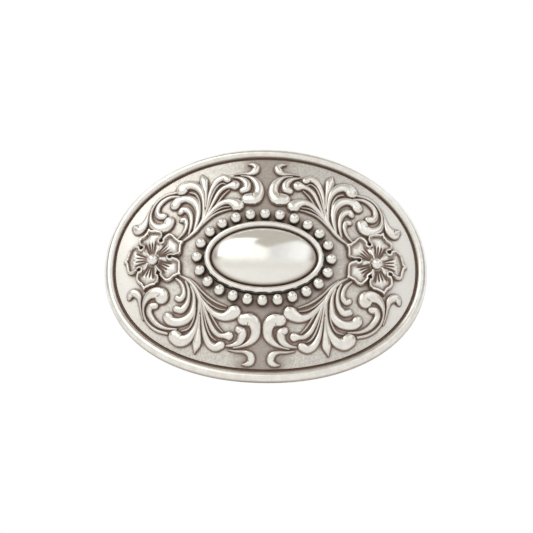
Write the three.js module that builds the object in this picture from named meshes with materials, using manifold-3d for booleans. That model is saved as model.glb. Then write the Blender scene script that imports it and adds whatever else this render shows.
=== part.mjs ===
// An oval Western belt buckle: a curved plate with soldered ornament on its face,
// and a swinging wire bail and a fixed hook on its back. Millimetres, worn upright:
// +X to the right of someone facing the buckle, +Z up, and the face looks along -Y.
// The origin is the middle of the buckle's overall box.

import * as THREE from 'three';
import { mergeVertices } from 'three/addons/utils/BufferGeometryUtils.js';
import Module from 'manifold-3d';

const wasm = await Module();
wasm.setup();

// Plate: an oval whose ends and whose top and bottom edges fall back from the middle.
const PLATE_HALF_WIDTH = 47.5;
const PLATE_HALF_HEIGHT = 35.5;
const PLATE_THICKNESS = 1.6;
const END_FALL = 11;
const EDGE_FALL = 4.5;
const RIM_WIDTH = 2.9;
const RIM_HEIGHT = 1.5;
const JOINT_GAP = 0.3;

// Middle of the face: a polished dome in a half-round bezel, ringed by shot beads.
const BEZEL_HALF_WIDTH = 17.4;
const BEZEL_HALF_HEIGHT = 11;
const BEZEL_WIRE = 2.3;
const BEZEL_HEIGHT = 2.2;
const DOME_HALF_WIDTH = 14.8;
const DOME_HALF_HEIGHT = 8.4;
const DOME_RISE = 4;
const BEAD_COUNT = 24;
const BEAD_RADIUS = 1.5;
const BEAD_LIFT = 1.2;
const BEAD_RING_HALF_WIDTH = 19.3;
const BEAD_RING_HALF_HEIGHT = 13.1;

// Flowers at the two ends.
const FLOWER_X = 32.4;
const FLOWER_Z = 0.3;
const FLOWER_LIP_LIFT = 1.9;
const FLOWER_FLOOR_LIFT = 1.1;
const FLOWER_BALL_RADIUS = 1.6;
const FLOWER_BALL_LIFT = 1.9;

// Scroll strokes: their lift, how much more a wider stroke swells, and how much of a bend's
// radius the inside of a stroke may fill.
const STROKE_LIFT = 0.7;
const STROKE_SWELL = 0.5;
const TIGHTEST_BEND = 0.8;

// Back hardware: a 38 mm belt loops round the bail and its tip goes over the hook.
const HINGE_X = 13;
const HINGE_BLOCK_WIDTH = 6.4;
const HINGE_BLOCK_HALF_LENGTH = 19;
const HINGE_BACK_WALL = 0.9;
const BAIL_WIRE_RADIUS = 1.5;
const BAIL_PIN_RADIUS = 1.3;
const BAIL_PIN_DEPTH = 4.4;
const BAIL_BORE_RADIUS = 1.6;
const BAIL_BORE_DEPTH = 5;
const BAIL_ARM_Z = 21;
const BAIL_REACH = 18;
const BAIL_CORNER = 4;
const BAIL_TILT = THREE.MathUtils.degToRad(11);
const HOOK_X = -24;
const HOOK_FLANGE_RADIUS = 4.2;
const HOOK_FLANGE_EDGE = 0.8;
const HOOK_PRONG_RADIUS = 2;
const HOOK_PRONG_LENGTH = 6;
const HOOK_PRONG_LEAN = 4.5;

// The face's middle stands forward of the origin by half of the overall depth.
const FACE_MIDDLE_Y = -(END_FALL + PLATE_THICKNESS - DOME_RISE) / 2;
const GROOVE_HALF_HEIGHT = PLATE_HALF_HEIGHT - RIM_WIDTH;
const OVAL_WIDENING = PLATE_HALF_WIDTH - PLATE_HALF_HEIGHT;
const OVAL_FULLNESS = 2.09;
const OVAL_SEGMENTS = 56;

// Scroll strokes on the left half, each a list of [x, z, half width] from tail to head.
// The right half is their mirror image.
const UPPER_SPRAY = {
  stem: [
    [-24.2, 5.1, 0.3], [-21.6, 7, 0.6], [-19.4, 9.4, 0.7], [-17.9, 12.4, 0.7], [-17.8, 15, 0.3],
  ],
  tallLeaf: [
    [-18.2, 11.5, 0.5], [-18.2, 15.5, 0.55], [-18.6, 19, 0.7], [-19.4, 21.3, 1],
    [-20.7, 22.9, 1.25], [-22.7, 23.7, 1.4], [-24.4, 23.2, 1.75], [-25.1, 22.3, 1.85],
  ],
  secondLobe: [
    [-20.6, 8.5, 0.5], [-19.9, 12, 0.75], [-19.8, 14.5, 0.95], [-20.4, 16.8, 1.2],
    [-21.9, 18.5, 1.3], [-24, 19.1, 1.15], [-26, 18.5, 1.4], [-26.9, 17.2, 1.55],
  ],
  thirdLobe: [
    [-22.2, 7.4, 0.4], [-21.7, 10, 0.6], [-21.7, 12, 0.7], [-22.2, 14, 0.85], [-23.2, 15.3, 1],
    [-24.4, 15.5, 1.05], [-25.1, 14.7, 0.95],
  ],
  smallLobe: [
    [-25.4, 6.1, 0.35], [-23.9, 7.8, 0.55], [-23.2, 9.4, 0.65], [-23.1, 11, 0.75],
    [-23.7, 12.2, 0.9], [-24.5, 12.1, 0.85],
  ],
  bud: [
    [-17.6, 16, 0.4], [-17.8, 20.5, 0.6], [-18.4, 23.3, 1.15], [-18.8, 25.2, 1.3],
    [-19.5, 27.2, 0.12],
  ],
  innerLeaf: [
    [-17.6, 13, 0.45], [-17.1, 16.5, 0.45], [-16.7, 19.7, 0.6], [-15.8, 22.7, 0.8],
    [-14.4, 24.9, 1], [-12.8, 25.7, 1.1], [-11.6, 25, 1.15],
  ],
  ballLobe: [
    [-17.4, 12.5, 0.5], [-16.5, 14.8, 0.5], [-15.2, 18, 0.6], [-13.9, 20.7, 0.7],
    [-12.4, 22.2, 0.75], [-11, 22.8, 0.9], [-9.5, 23, 1.65],
  ],
  beadLobe: [
    [-18.6, 10, 0.5], [-16.8, 13, 0.6], [-15, 15.3, 0.75], [-13, 17, 0.9], [-11, 17.6, 1.1],
    [-9.3, 17.1, 1.6], [-8.2, 16.2, 1.95],
  ],
};
const UPPER_RIM_SCROLL = {
  flowerCurl: [
    [-26.8, 21.4, 0.5], [-29.7, 20.9, 0.55], [-32.1, 19.3, 0.5], [-33.7, 16.8, 0.45],
    [-34.2, 14.3, 0.5], [-33.7, 11.9, 0.95], [-32.3, 10.4, 1.35], [-30.4, 9.9, 1.6],
    [-28.9, 10.6, 1.75], [-28.3, 11.8, 1.7],
  ],
  rimComma: [
    [-33.9, 17.8, 0.25], [-35, 14.8, 0.45], [-35.5, 12.7, 0.85], [-36.4, 11, 1.35],
    [-37.8, 10.2, 1.6], [-38.9, 11, 0.9],
  ],
  innerCurl: [
    [-28, 20.9, 0.5], [-29.3, 20, 0.65], [-30.8, 18.7, 0.75], [-32, 17, 0.8],
    [-32.2, 15.2, 0.9], [-31.4, 14, 1.1], [-30.2, 13.9, 1.15],
  ],
};
const UPPER_CREST = {
  outerCrescent: [
    [-8.4, 26.1, 0.35], [-5.2, 25.8, 0.5], [-3.3, 24.4, 1.1], [-2.2, 22.2, 1.4],
    [-2.2, 20, 1.65], [-3.4, 18.5, 2.1], [-5.3, 18.3, 1.85],
  ],
  innerCrescent: [
    [-9.8, 25.7, 0.3], [-8, 25.4, 0.6], [-6.5, 24.5, 1], [-5.7, 23.1, 1.2], [-5.9, 21.8, 1.3],
    [-6.9, 21.2, 1.05],
  ],
  topComma: [
    [-9, 26.2, 0.3], [-7, 26.8, 0.45], [-4.9, 27, 0.75], [-3.6, 27.8, 1.15], [-3.2, 29.1, 1.1],
    [-4.1, 30.1, 0.75], [-5.5, 30.2, 0.3],
  ],
};
const LOWER_SPRAY = {
  stem: [
    [-24.2, -5.1, 0.3], [-21.6, -6.7, 0.6], [-19.4, -9.3, 0.7], [-18, -12.4, 0.7],
    [-17.9, -16, 0.4],
  ],
  tallLeaf: [
    [-18.1, -13, 0.5], [-18.2, -16.5, 0.5], [-18.7, -19.5, 0.7], [-19.7, -22, 1.05],
    [-21.4, -23.8, 1.5], [-23.3, -24, 1.85], [-24.8, -22.9, 1.9],
  ],
  secondLobe: [
    [-20.7, -8.5, 0.4], [-19.8, -11, 0.55], [-19.7, -14, 0.8], [-20.3, -16.7, 1.1],
    [-21.9, -18.3, 1.25], [-24, -18.8, 1.3], [-26.2, -18.3, 1.4], [-27.1, -17.3, 1.5],
  ],
  thirdLobe: [
    [-22.3, -7, 0.4], [-21.4, -9.5, 0.55], [-21.3, -12, 0.7], [-21.9, -14, 0.9],
    [-23.2, -15.3, 1.1], [-24.7, -15, 1.05],
  ],
  smallLobe: [
    [-25.2, -6, 0.35], [-23.7, -7.4, 0.6], [-22.9, -9.2, 0.7], [-22.9, -11.2, 0.9],
    [-23.8, -12.1, 1], [-24.6, -11.8, 0.9],
  ],
  bud: [
    [-17.9, -17, 0.4], [-18, -20.5, 0.65], [-18.2, -23.5, 1.15], [-18.4, -25.2, 1.3],
    [-19, -27.9, 0.12],
  ],
  innerLeaf: [
    [-17.7, -13, 0.45], [-17.2, -17, 0.45], [-16.7, -20.3, 0.6], [-16, -23, 0.85],
    [-14.8, -25.2, 1.05], [-13, -26.2, 1.2], [-11.5, -25.6, 1.25],
  ],
  ballLobe: [
    [-17.5, -12.5, 0.5], [-16.3, -15.8, 0.55], [-15, -19, 0.65], [-13.6, -21.5, 0.75],
    [-12, -22.8, 0.75], [-10.6, -23, 0.8], [-9.3, -23, 1.35],
  ],
  beadLobe: [
    [-18.8, -10.5, 0.5], [-17, -13.1, 0.6], [-15, -15.5, 0.85], [-13, -17, 1],
    [-10.8, -17.6, 1.3], [-9.1, -17, 1.75], [-8, -16.2, 2.05],
  ],
};
const LOWER_RIM_SCROLL = {
  flowerCurl: [
    [-27.2, -21.9, 0.45], [-30, -21, 0.5], [-32.5, -19.2, 0.45], [-34.1, -16.8, 0.4],
    [-34.6, -14.2, 0.45], [-34.1, -11.9, 0.9], [-32.8, -10.3, 1.45], [-31, -9.8, 1.75],
    [-29.5, -10.4, 2], [-29.2, -11.3, 2],
  ],
  rimComma: [
    [-34.5, -17.5, 0.25], [-35.3, -15, 0.35], [-35.8, -12.5, 0.5], [-36.2, -10.6, 0.95],
    [-37.3, -9.5, 1.2], [-38.6, -9.6, 1.2], [-39.1, -10.8, 0.7],
  ],
  innerCurl: [
    [-28, -21.3, 0.5], [-29.3, -20.1, 0.65], [-30.7, -18.8, 0.75], [-31.9, -17.2, 0.85],
    [-32.8, -15.2, 0.9], [-32.3, -13.8, 1.05], [-31.1, -13.7, 1.05],
  ],
};
const LOWER_CREST = {
  outerCrescent: [
    [-8.4, -26.3, 0.35], [-5.5, -25.9, 0.45], [-3.3, -24.8, 0.9], [-1.9, -23, 1.35],
    [-1.7, -21, 1.5], [-2.3, -19.2, 1.85], [-3.7, -18.3, 1.95], [-5.1, -18.4, 1.75],
  ],
  innerCrescent: [
    [-9.8, -25.8, 0.35], [-8, -25.6, 0.6], [-6.4, -24.8, 1], [-5.6, -23.4, 1.25],
    [-5.5, -22, 1.3], [-6.5, -21.3, 1.1],
  ],
  bottomComma: [
    [-9, -26.4, 0.3], [-7.2, -27, 0.5], [-5, -27.3, 0.55], [-3.5, -27.9, 0.9], [-2.7, -29, 1.1],
    [-2.9, -30.2, 1.05], [-4.1, -30.9, 0.65], [-5.3, -30.9, 0.25],
  ],
};

// How far the plate's face lies behind its middle at a place on the oval.
function fall(x, z) {
  return END_FALL * (x / PLATE_HALF_WIDTH) ** 2 + EDGE_FALL * (z / PLATE_HALF_HEIGHT) ** 2;
}

function backY(x, z) {
  return FACE_MIDDLE_Y + fall(x, z) + PLATE_THICKNESS;
}

// Pieces on the face are shaped over a flat face at y = 0, then carried onto the curved one.
function drape(geometry) {
  const place = geometry.attributes.position;
  for (let i = 0; i < place.count; i += 1) {
    place.setY(i, place.getY(i) + FACE_MIDDLE_Y + fall(place.getX(i), place.getZ(i)));
  }
  return welded(geometry);
}

function welded(geometry) {
  const bare = geometry.clone();
  bare.deleteAttribute('normal');
  bare.deleteAttribute('uv');
  return mergeVertices(bare, 1e-4);
}

function toManifold(geometry) {
  const closed = welded(geometry);
  const vertProperties = new Float32Array(closed.attributes.position.array);
  const triVerts = new Uint32Array(closed.index.array);
  return new wasm.Manifold(new wasm.Mesh({ numProp: 3, vertProperties, triVerts }));
}

function fromManifold(solid) {
  const mesh = solid.getMesh();
  const geometry = new THREE.BufferGeometry();
  geometry.setAttribute('position', new THREE.BufferAttribute(new Float32Array(mesh.vertProperties), 3));
  geometry.setIndex(new THREE.BufferAttribute(new Uint32Array(mesh.triVerts), 1));
  return geometry;
}

// A solid skinned over rings of points that all have the same count, closed at both ends.
function skin(rings) {
  const sides = rings[0].length;
  const position = rings.flat().flatMap((point) => [point.x, point.y, point.z]);
  const index = [];
  for (let ring = 0; ring < rings.length - 1; ring += 1) {
    for (let side = 0; side < sides; side += 1) {
      const here = ring * sides + side;
      const beside = ring * sides + (side + 1) % sides;
      index.push(here, beside, here + sides);
      index.push(beside, beside + sides, here + sides);
    }
  }
  const last = (rings.length - 1) * sides;
  for (let side = 1; side < sides - 1; side += 1) {
    index.push(0, side + 1, side);
    index.push(last, last + side, last + side + 1);
  }
  const geometry = new THREE.BufferGeometry();
  geometry.setAttribute('position', new THREE.Float32BufferAttribute(position, 3));
  geometry.setIndex(index);
  return facingOut(geometry);
}

// Turns a closed surface the right way out.
function facingOut(geometry) {
  const place = geometry.attributes.position;
  const corner = [new THREE.Vector3(), new THREE.Vector3(), new THREE.Vector3()];
  const index = geometry.index.array;
  let volume = 0;
  for (let i = 0; i < index.length; i += 3) {
    corner.forEach((point, n) => point.fromBufferAttribute(place, index[i + n]));
    volume += corner[0].dot(corner[1].cross(corner[2]));
  }
  if (volume < 0) index.reverse();
  return geometry;
}

// Bends a sine or cosine so that the oval it draws is a little squarer than an ellipse.
function fuller(part, fullness) {
  return Math.sign(part) * Math.abs(part) ** (2 / fullness);
}

// An oval turned piece. The profile's radius is the upright half height, and its lift is
// how far it stands off the face. Outside `core` the oval keeps its width all round. A
// fullness above 2 makes the oval a little squarer than an ellipse.
function ovalTurned(profile, core, widening, segments, fullness = 2) {
  const points = profile.map(([radius, lift]) => new THREE.Vector2(radius, -lift));
  const geometry = new THREE.LatheGeometry(points, segments);
  const place = geometry.attributes.position;
  for (let i = 0; i < place.count; i += 1) {
    const x = place.getX(i);
    const radius = Math.hypot(x, place.getZ(i));
    const stretched = radius < core ? radius * (1 + widening / core) : radius + widening;
    if (radius === 0) continue;
    place.setX(i, stretched * fuller(x / radius, fullness));
    place.setZ(i, radius * fuller(place.getZ(i) / radius, fullness));
  }
  return facingOut(welded(geometry));
}

// Points of a half-round moulding from its inner foot over the crest to its outer foot.
function halfRound(innerRadius, width, base, height, steps) {
  const points = [];
  for (let i = 0; i <= steps; i += 1) {
    const turn = Math.PI * i / steps;
    const radius = innerRadius + width * (1 - Math.cos(turn)) / 2;
    points.push([radius, base + (height - base) * Math.sin(turn)]);
  }
  return points;
}

function plate() {
  const rings = [0, 0.25, 0.5, 0.75, 1].map((part) => part * GROOVE_HALF_HEIGHT);
  const front = [...rings, PLATE_HALF_HEIGHT].map((radius) => [radius, 0]);
  const back = [...front].reverse().map(([radius]) => [radius, -PLATE_THICKNESS]);
  return drape(ovalTurned([...front, ...back], GROOVE_HALF_HEIGHT, OVAL_WIDENING, OVAL_SEGMENTS,
    OVAL_FULLNESS));
}

function rimWire() {
  const arc = halfRound(GROOVE_HALF_HEIGHT, RIM_WIDTH, JOINT_GAP, RIM_HEIGHT, 4);
  return drape(ovalTurned([...arc, arc[0]], GROOVE_HALF_HEIGHT - 1, OVAL_WIDENING, OVAL_SEGMENTS,
    OVAL_FULLNESS));
}

function bezel() {
  const inner = BEZEL_HALF_HEIGHT - BEZEL_WIRE;
  const arc = halfRound(inner, BEZEL_WIRE, JOINT_GAP, BEZEL_HEIGHT, 5);
  return drape(ovalTurned([...arc, arc[0]], inner - 1, BEZEL_HALF_WIDTH - BEZEL_HALF_HEIGHT, 40));
}

function dome() {
  const profile = [[0, JOINT_GAP], [DOME_HALF_HEIGHT, JOINT_GAP]];
  for (const rise of [0.2, 0.45, 0.7, 1]) {
    const radius = DOME_HALF_HEIGHT * Math.sqrt(1 - rise ** 1.6);
    profile.push([rise === 1 ? 0 : radius, DOME_RISE * (0.25 + 0.75 * rise)]);
  }
  return drape(ovalTurned(profile, DOME_HALF_HEIGHT, DOME_HALF_WIDTH - DOME_HALF_HEIGHT, 32));
}

// A ball whose middle stands `lift` off the face, filed flat where it is soldered down.
function ball(radius, lift, seat, x, z) {
  const foot = Math.asin((seat - lift) / radius);
  const profile = [[0, seat]];
  const steps = 5;
  const segments = 10;
  for (let i = 0; i <= steps; i += 1) {
    const turn = foot + (Math.PI / 2 - foot) * i / steps;
    profile.push([i === steps ? 0 : radius * Math.cos(turn), lift + radius * Math.sin(turn)]);
  }
  const geometry = new THREE.LatheGeometry(profile.map(([r, up]) => new THREE.Vector2(r, -up)), segments);
  geometry.translate(x, 0, z);
  return drape(facingOut(welded(geometry)));
}

// Bead places, equally spaced along the oval from the top, clockwise.
function beadPlaces() {
  const oval = new THREE.EllipseCurve(0, 0, BEAD_RING_HALF_WIDTH, BEAD_RING_HALF_HEIGHT, Math.PI / 2,
    -1.5 * Math.PI, true);
  oval.arcLengthDivisions = 720;
  return oval.getSpacedPoints(BEAD_COUNT).slice(0, BEAD_COUNT);
}

// Petals of the left flower, anticlockwise: each has its tip and the notch that follows it,
// as an angle in degrees from +X and a distance from the flower's middle.
const PETALS = [
  { tip: 29, reach: 10, notch: 68, notchReach: 5.9 },
  { tip: 101, reach: 9.4, notch: 134, notchReach: 5.3 },
  { tip: 179, reach: 8.6, notch: 217, notchReach: 4.9 },
  { tip: 257, reach: 9.2, notch: 296, notchReach: 4.7 },
  { tip: 330, reach: 9.5, notch: 364, notchReach: 5 },
];

// How far the flower's outline is from its middle at an angle in degrees.
function flowerReach(angle) {
  const turned = angle < PETALS[4].notch - 360 ? angle + 360 : angle;
  const petal = PETALS.find((one) => turned <= one.notch);
  const before = PETALS[(PETALS.indexOf(petal) + 4) % 5];
  const start = petal === PETALS[0] ? before.notch - 360 : before.notch;
  const rising = turned < petal.tip;
  const span = rising ? petal.tip - start : petal.notch - petal.tip;
  const side = Math.abs(turned - petal.tip) / span;
  const notchReach = rising ? before.notchReach : petal.notchReach;
  const shoulder = petal.reach * (0.87 + 0.13 * Math.max(0, 1 - side / 0.25) ** 2);
  return shoulder - (shoulder - notchReach) * Math.max(0, (side - 0.6) / 0.4) ** 2.5;
}

// A profile of [part of the way out, lift] turned about the left flower's middle and
// stretched to its outline, which is spread outwards all round.
function flowerTurned(profile, spread) {
  const segments = 60;
  const points = profile.map(([part, lift]) => new THREE.Vector2(part, -lift));
  const geometry = welded(new THREE.LatheGeometry(points, segments));
  const place = geometry.attributes.position;
  for (let i = 0; i < place.count; i += 1) {
    const x = place.getX(i);
    const z = place.getZ(i);
    const angle = (THREE.MathUtils.radToDeg(Math.atan2(z, x)) + 360) % 360;
    const reach = flowerReach(angle) + spread;
    place.setX(i, x * reach - FLOWER_X);
    place.setZ(i, z * reach + FLOWER_Z);
  }
  return facingOut(geometry);
}

// A cupped five-petalled flower: the lips of the petals stand up and the middle is low.
function flower() {
  const edgeLift = 1;
  return drape(flowerTurned([
    [0, JOINT_GAP],
    [1, JOINT_GAP],
    [1, edgeLift],
    [0.88, FLOWER_LIP_LIFT],
    [0.74, FLOWER_FLOOR_LIFT],
    [0.4, FLOWER_FLOOR_LIFT],
    [0, FLOWER_FLOOR_LIFT],
  ], 0));
}

// The space the left flower takes up with a joint's gap round it, over a flat face.
function flowerClearance() {
  const below = -1;
  const above = 4;
  return toManifold(flowerTurned([[0, below], [1, below], [1, above], [0, above]], 1.5 * JOINT_GAP));
}

// A scroll stroke: a rounded tapering ridge along a smooth line, with a round head. The
// clearance is how much larger it is made all round, for cutting its neighbours back.
function stroke(points, clearance) {
  const line = new THREE.CatmullRomCurve3(points.map(([x, z, half]) => new THREE.Vector3(x, half, z)), false,
    'centripetal');
  const steps = 2 * (points.length - 1);
  const nearby = 0.02;
  const section = [[-1, 0], [-0.85, 0.55], [0, 1], [0.85, 0.55], [1, 0]];
  const rings = [];
  const addRing = (x, z, along, left, right) => {
    const foot = JOINT_GAP - clearance;
    const crest = JOINT_GAP + STROKE_LIFT + STROKE_SWELL * (left + right) / 2 + clearance;
    rings.push(section.map(([side, lift]) => {
      const reach = side * ((side < 0 ? left : right) + clearance);
      const height = foot + (crest - foot) * lift;
      return new THREE.Vector3(x - along.z * reach, -height, z + along.x * reach);
    }));
  };
  for (let i = 0; i <= steps; i += 1) {
    const here = line.getPoint(i / steps);
    const along = headingAt(line, i / steps);
    const before = Math.max(0, i / steps - nearby);
    const after = Math.min(1, i / steps + nearby);
    const behind = headingAt(line, before);
    const ahead = headingAt(line, after);
    const from = line.getPoint(before);
    const to = line.getPoint(after);
    const bend = (behind.x * ahead.z - behind.z * ahead.x) / Math.hypot(to.x - from.x, to.z - from.z);
    const inside = Math.min(here.y, TIGHTEST_BEND / Math.abs(bend));
    addRing(here.x, here.z, along, bend < 0 ? inside : here.y, bend > 0 ? inside : here.y);
  }
  const head = line.getPoint(1);
  const along = headingAt(line, 1);
  for (const turn of [0.6, 1.1, 1.45]) {
    const reach = (head.y + clearance) * Math.sin(turn);
    const half = head.y * Math.cos(turn);
    addRing(head.x + along.x * reach, head.z + along.z * reach, along, half, half);
  }
  return skin(rings);
}

// The direction of a line on the face, ignoring the half width it carries as y.
function headingAt(line, part) {
  return line.getTangent(part).setY(0).normalize();
}

// Several strokes joined where they cross.
function joined(strokes, clearance = 0) {
  const solids = Object.values(strokes).map((points) => toManifold(stroke(points, clearance)));
  return solids.reduce((whole, next) => whole.add(next));
}

// A scroll cut back so that a joint's gap is left to each neighbour it would run into.
function scroll(strokes, neighbours) {
  const parts = neighbours.reduce((whole, next) => whole.subtract(next), joined(strokes)).decompose();
  const largest = parts.reduce((best, next) => (next.volume() > best.volume() ? next : best));
  return drape(fromManifold(largest));
}

// The left piece's mirror image for the right half.
function mirrored(geometry) {
  const copy = geometry.clone();
  const place = copy.attributes.position;
  for (let i = 0; i < place.count; i += 1) place.setX(i, -place.getX(i));
  return facingOut(copy);
}

// Everything in front of the plate's back face, and a joint's gap behind it.
function plateClearance() {
  const above = 6;
  const rings = [0, 0.2, 0.4, 0.6, 0.8, 1].map((part) => part * GROOVE_HALF_HEIGHT);
  const front = rings.map((radius) => [radius, above]);
  const back = [...front].reverse().map(([radius]) => [radius, -PLATE_THICKNESS - JOINT_GAP]);
  return toManifold(drape(ovalTurned([...front, ...back], GROOVE_HALF_HEIGHT, OVAL_WIDENING, OVAL_SEGMENTS,
    OVAL_FULLNESS)));
}

const hingeSeatY = backY(HINGE_X + HINGE_BLOCK_WIDTH / 2, HINGE_BLOCK_HALF_LENGTH) + JOINT_GAP;
const hingeY = hingeSeatY + HINGE_BACK_WALL + BAIL_BORE_RADIUS;
const hingeBackY = hingeY + BAIL_BORE_RADIUS + HINGE_BACK_WALL;

// The block soldered across the plate's back, with a blind hole in each end for the bail.
function hingeBlock() {
  const frontY = backY(HINGE_X - HINGE_BLOCK_WIDTH, 0) - 1;
  const depth = hingeBackY - frontY;
  const body = new THREE.BoxGeometry(HINGE_BLOCK_WIDTH, depth, 2 * HINGE_BLOCK_HALF_LENGTH);
  body.translate(HINGE_X, frontY + depth / 2, 0);
  let solid = toManifold(body).subtract(plateClearance());
  for (const end of [-1, 1]) {
    const overrun = 1;
    const length = BAIL_BORE_DEPTH + overrun;
    const bore = new THREE.CylinderGeometry(BAIL_BORE_RADIUS, BAIL_BORE_RADIUS, length, 20);
    bore.rotateX(Math.PI / 2);
    const middle = HINGE_BLOCK_HALF_LENGTH + (overrun - BAIL_BORE_DEPTH) / 2;
    bore.translate(HINGE_X, hingeY, end * middle);
    solid = solid.subtract(toManifold(bore));
  }
  return fromManifold(solid);
}

// A round bar along a line of places, each with its own radius.
function bar(places, sides) {
  const rings = places.map(({ point, along, radius }) => {
    const across = new THREE.Vector3(0, 1, 0);
    if (Math.abs(along.y) > 0.9) across.set(0, 0, 1);
    const normal = new THREE.Vector3().crossVectors(along, across).normalize();
    const binormal = new THREE.Vector3().crossVectors(along, normal).normalize();
    return Array.from({ length: sides }, (_, i) => {
      const turn = 2 * Math.PI * i / sides;
      return point.clone().addScaledVector(normal, radius * Math.cos(turn))
        .addScaledVector(binormal, radius * Math.sin(turn));
    });
  });
  return skin(rings);
}

// The wire loop, lying in the X-Z plane from its own hinge line, before it is tilted.
function bail() {
  const pinEnd = HINGE_BLOCK_HALF_LENGTH - BAIL_PIN_DEPTH;
  const shoulder = HINGE_BLOCK_HALF_LENGTH + JOINT_GAP;
  const innerBend = 1.6;
  const places = [];
  const add = (x, z, alongX, alongZ, radius) => places.push({
    point: new THREE.Vector3(x, 0, z),
    along: new THREE.Vector3(alongX, 0, alongZ).normalize(),
    radius,
  });
  const addCorner = (cx, cz, radius, from, to, steps) => {
    for (let i = 0; i <= steps; i += 1) {
      const turn = THREE.MathUtils.degToRad(from + (to - from) * i / steps);
      const swing = Math.sign(to - from);
      add(cx + radius * Math.cos(turn), cz + radius * Math.sin(turn), -swing * Math.sin(turn),
        swing * Math.cos(turn), BAIL_WIRE_RADIUS);
    }
  };
  add(0, -pinEnd, 0, -1, BAIL_PIN_RADIUS);
  add(0, -shoulder, 0, -1, BAIL_PIN_RADIUS);
  addCorner(innerBend, innerBend - BAIL_ARM_Z, innerBend, 180 + 25, 270, 3);
  addCorner(BAIL_REACH - BAIL_CORNER, BAIL_CORNER - BAIL_ARM_Z, BAIL_CORNER, 270, 360, 5);
  addCorner(BAIL_REACH - BAIL_CORNER, BAIL_ARM_Z - BAIL_CORNER, BAIL_CORNER, 0, 90, 5);
  addCorner(innerBend, BAIL_ARM_Z - innerBend, innerBend, 90, 180 - 25, 3);
  add(0, shoulder, 0, -1, BAIL_PIN_RADIUS);
  add(0, pinEnd, 0, -1, BAIL_PIN_RADIUS);
  return bar(places, 10);
}

// The hook: a round boss on the plate's back with a prong that leans towards the plate's end.
const hookSeatY = backY(HOOK_X - HOOK_FLANGE_RADIUS, 0) + JOINT_GAP + HOOK_FLANGE_EDGE;

function hookStud() {
  const frontY = backY(HOOK_X + HOOK_FLANGE_RADIUS, 0) - 1;
  const depth = hookSeatY - frontY;
  const flange = new THREE.CylinderGeometry(HOOK_FLANGE_RADIUS, HOOK_FLANGE_RADIUS, depth, 24);
  flange.translate(HOOK_X, frontY + depth / 2, 0);
  const line = new THREE.QuadraticBezierCurve3(
    new THREE.Vector3(HOOK_X, hookSeatY - HOOK_FLANGE_EDGE, 0),
    new THREE.Vector3(HOOK_X - HOOK_PRONG_LEAN / 5, hookSeatY + HOOK_PRONG_LENGTH * 0.6, 0),
    new THREE.Vector3(HOOK_X - HOOK_PRONG_LEAN, hookSeatY + HOOK_PRONG_LENGTH - HOOK_PRONG_RADIUS / 2, 0),
  );
  const places = [0, 0.25, 0.5, 0.75, 0.9, 1].map((part) => {
    const rounding = Math.sqrt(1 - Math.max(0, (part - 0.7) / 0.33) ** 2);
    const along = line.getTangent(part);
    return { point: line.getPoint(part), along, radius: HOOK_PRONG_RADIUS * rounding };
  });
  const prong = toManifold(bar(places, 14));
  return fromManifold(toManifold(flange).subtract(plateClearance()).add(prong));
}

const finish = {
  field: new THREE.MeshStandardMaterial({ color: 0xb8b0a6, roughness: 0.55, metalness: 1 }),
  polished: new THREE.MeshStandardMaterial({ color: 0xe4e1da, roughness: 0.15, metalness: 1 }),
  antiqued: new THREE.MeshStandardMaterial({ color: 0xd4d0c8, roughness: 0.3, metalness: 1 }),
  fitting: new THREE.MeshStandardMaterial({ color: 0xc4c1ba, roughness: 0.3, metalness: 1 }),
};

const buckle = new THREE.Group();

function addPiece(name, geometry, material, parent = buckle) {
  const mesh = new THREE.Mesh(geometry, material);
  mesh.name = name;
  parent.add(mesh);
  return mesh;
}

function addPair(name, geometry, material) {
  addPiece(`${name}_left`, geometry, material);
  addPiece(`${name}_right`, mirrored(geometry), material);
}

addPiece('base_plate', plate(), finish.field);
addPiece('rim_wire', rimWire(), finish.polished);
addPiece('centre_bezel', bezel(), finish.antiqued);
addPiece('centre_dome', dome(), finish.polished);
beadPlaces().forEach((place, i) => {
  const name = `shot_bead_${String(i + 1).padStart(2, '0')}`;
  addPiece(name, ball(BEAD_RADIUS, BEAD_LIFT, JOINT_GAP, place.x, place.y), finish.antiqued);
});

addPair('flower', flower(), finish.antiqued);
const flowerSeat = FLOWER_FLOOR_LIFT + JOINT_GAP;
const flowerBall = ball(FLOWER_BALL_RADIUS, FLOWER_BALL_LIFT, flowerSeat, -FLOWER_X, 0);
addPair('flower_centre', flowerBall, finish.antiqued);
const flowerSpace = flowerClearance();
for (const [half, spray, rimScroll, crest] of [
  ['upper', UPPER_SPRAY, UPPER_RIM_SCROLL, UPPER_CREST],
  ['lower', LOWER_SPRAY, LOWER_RIM_SCROLL, LOWER_CREST],
]) {
  const spraySpace = joined(spray, JOINT_GAP);
  addPair(`${half}_spray`, scroll(spray, [flowerSpace]), finish.antiqued);
  addPair(`${half}_rim_scroll`, scroll(rimScroll, [flowerSpace, spraySpace]), finish.antiqued);
  addPair(`${half}_crest`, scroll(crest, [spraySpace]), finish.antiqued);
}

addPiece('bail_hinge_block', hingeBlock(), finish.fitting);
addPiece('hook_stud', hookStud(), finish.fitting);

const bailSwing = new THREE.Group();
bailSwing.position.set(HINGE_X, hingeY, 0);
bailSwing.rotation.z = BAIL_TILT;
addPiece('belt_bail', bail(), finish.fitting, bailSwing);
buckle.add(bailSwing);

export default buckle;
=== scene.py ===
import math

import bpy
import numpy as np
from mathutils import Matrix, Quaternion, Vector
from mathutils.kdtree import KDTree


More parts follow.
